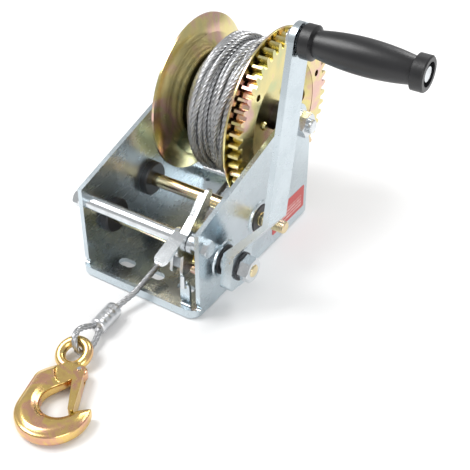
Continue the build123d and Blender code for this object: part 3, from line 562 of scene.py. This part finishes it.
winding = {
    "centre": (0.066, 0.108),
    "steps": 120,           # points in one turn
    "pitch": 0.0052,
    "under": 0.0544,        # centre-line radius of the even layer
    "middle": 0.0571,
    "top": 0.0594,
    "slopeLeft": (-0.0095, 1.35),
    "slopeRight": (0.0239, 1.05),
    "ends": (-0.0245, 0.0300),
    "dive": 0.0050,         # how far the ends of a loose turn go under
    "diveRate": 9,
    "coreEnds": (-0.0275, 0.0325),
    "coreSteps": 60,
    "coreSegments": 96,
    "coreGap": 0.0012,      # the dark core of painted shade stays this far below the even layer
}


def packLimit(x):
    left, leftSlope = winding["slopeLeft"]
    right, rightSlope = winding["slopeRight"]
    return winding["top"] - max(0.0, left - x) * leftSlope - max(0.0, x - right) * rightSlope


def onDrum(x, radius, angle):
    y, z = winding["centre"]
    return (x, y + radius * math.cos(angle), z + radius * math.sin(angle))


def layer(start, end, radius, phase):
    # turns side by side, closer where the pack slopes away
    line = []
    x = start
    way = 1 if end > start else -1
    angle = phase
    step = 2 * math.pi / winding["steps"]
    ahead = 0.0002
    while (end - x) * way > 0:
        height = min(radius, packLimit(x))
        fall = (min(radius, packLimit(x + ahead)) - height) / ahead
        line.append(onDrum(x, height, angle))
        x += way * winding["pitch"] / winding["steps"] / math.sqrt(1 + fall * fall)
        angle += step
    return line


def crossing(middle, reach, turns, wanders, phase):
    # a turn that wanders across the ones below; both ends dive under
    line = []
    count = int(turns * winding["steps"])
    for i in range(count + 1):
        share = i / count
        x = middle + reach * math.sin(2 * math.pi * wanders * share + phase * 0.7)
        fromStart = share * turns * winding["diveRate"]
        fromEnd = (1 - share) * turns * winding["diveRate"]
        dive = winding["dive"] * (math.exp(-fromStart ** 2) + math.exp(-fromEnd ** 2))
        line.append(onDrum(x, packLimit(x) - dive, phase + 2 * math.pi * turns * share))
    return line


turns = [
    layer(winding["ends"][0], winding["ends"][1], winding["under"], 0.4),
    layer(-0.0008, -0.0125, winding["middle"], 2.1),
    layer(0.0123, 0.0262, winding["middle"], 4.0),
    crossing(-0.0058, 0.0060, 2.6, 3.1, 0.6),
    crossing(-0.0066, 0.0054, 1.4, 2.3, 3.9),
    crossing(0.0182, 0.0066, 2.7, 3.3, 2.2),
    crossing(0.0200, 0.0062, 1.6, 2.6, 5.2),
]
windingPiece = addPiece("rope_turns", laidRope("rope_turns", turns), "drum", wire,
                        ["rope_winding"])
# a sleeve of painted shade under the turns: near black, so the gaps between the turns read as shadow
coreLeft, coreRight = winding["coreEnds"]
coreProfile = []
for i in range(winding["coreSteps"] + 1):
    share = i / winding["coreSteps"]
    height = min(winding["under"], packLimit(coreLeft + (coreRight - coreLeft) * share))
    coreProfile.append((share, height - winding["coreGap"]))
shadeCoreMesh = sweptProfile("rope_shade_core", (coreLeft, *winding["centre"]), (coreRight, *winding["centre"]),
                        coreProfile, winding["coreSegments"])
addPiece("rope_shade_core", shadeCoreMesh, "drum", wireShadow)
print("rope wound:", len(windingPiece.data.polygons), "faces")


# the forged hook: the CAD's stepped slabs, evened out and softened

forging = {
    "voxel": 0.0006,
    "rounds": 30,
    "pull": 0.5,            # how far each round of softening moves a point
}
hookNode = nodes["hook"]
hookMesh = hookNode.data.copy()
hookMesh.transform(hookNode.matrix_world)
hookHolder = bpy.data.objects.new("hook soften", hookMesh)
even = hookHolder.modifiers.new("even", "REMESH")
even.mode = "VOXEL"
even.voxel_size = forging["voxel"]
soften = hookHolder.modifiers.new("soften", "SMOOTH")
soften.factor = forging["pull"]
soften.iterations = forging["rounds"]
forgedMesh = bake(hookHolder)
smooth(forgedMesh)
hookPiece = addPiece("hook_forged", forgedMesh, "body", hookZinc, ["hook"])
print("hook forged:", len(forgedMesh.polygons), "faces")


# the rolled thread on the middle shaft's stub

thread = {
    "start": 0.0640,
    "end": 0.0838,
    "axis": (0.0060, 0.0450),
    "radius": 0.00508,
    "pitch": 0.0015,
    "steps": 28,            # points in one turn
    "sides": 8,
    "crest": 0.36,          # thickness of the crest, of the pitch
}
threadLine = []
for i in range(int((thread["end"] - thread["start"]) / thread["pitch"] * thread["steps"])):
    angle = 2 * math.pi * i / thread["steps"]
    threadLine.append((thread["start"] + thread["pitch"] * i / thread["steps"],
                       thread["axis"][0] + thread["radius"] * math.cos(angle),
                       thread["axis"][1] + thread["radius"] * math.sin(angle)))
threadMesh = swept("stub_thread", [threadLine], shaftZinc, thread["pitch"] * thread["crest"],
                   sides=thread["sides"])
addPiece("stub_thread", threadMesh, "middle_gears", shaftZinc)
print("thread rolled:", len(threadMesh.polygons), "faces")


# the two cords: the free rope down to its ferrule, and the eye that holds the hook
runLength = lineLength(runLine)
eyeLength = lineLength(eyeLine)
print("rope run", round(runLength, 4), "m, eye", round(eyeLength, 4), "m")


# floor, light and background

def makeStage():
    mesh = bpy.data.meshes.new("floor")
    half = 6.0
    corners = [(-half, -half, 0), (half, -half, 0), (half, half, 0), (-half, half, 0)]
    mesh.from_pydata(corners, [], [(0, 1, 2, 3)])
    floor = bpy.data.objects.new("floor", mesh)
    scene.collection.objects.link(floor)
    paint = Paint("floor", Roughness=0.6, Base_Color=(0.86, 0.86, 0.86, 1))
    mesh.materials.append(paint.material)
    world = bpy.data.worlds.new("studio")
    world.use_nodes = True
    background = world.node_tree.nodes["Background"]
    background.inputs[0].default_value = (1, 1, 1, 1)
    background.inputs[1].default_value = 0.55
    scene.world = world
    lights = (
        ("key", (-0.9, -0.5, 1.5), 0.9, 24),
        ("fill", (1.3, -0.9, 0.8), 0.8, 10),
        ("rim", (0.3, 1.2, 1.2), 0.8, 13),
    )
    for name, place, size, power in lights:
        data = bpy.data.lights.new(name, "AREA")
        data.size = size
        data.energy = power
        lamp = bpy.data.objects.new(name, data)
        scene.collection.objects.link(lamp)
        lamp.location = place
        lamp.rotation_euler = (Vector((0, -0.05, 0.08)) - Vector(place)).to_track_quat("-Z", "Y").to_euler()


makeStage()
scene.view_settings.view_transform = "Standard"
print("stage made")
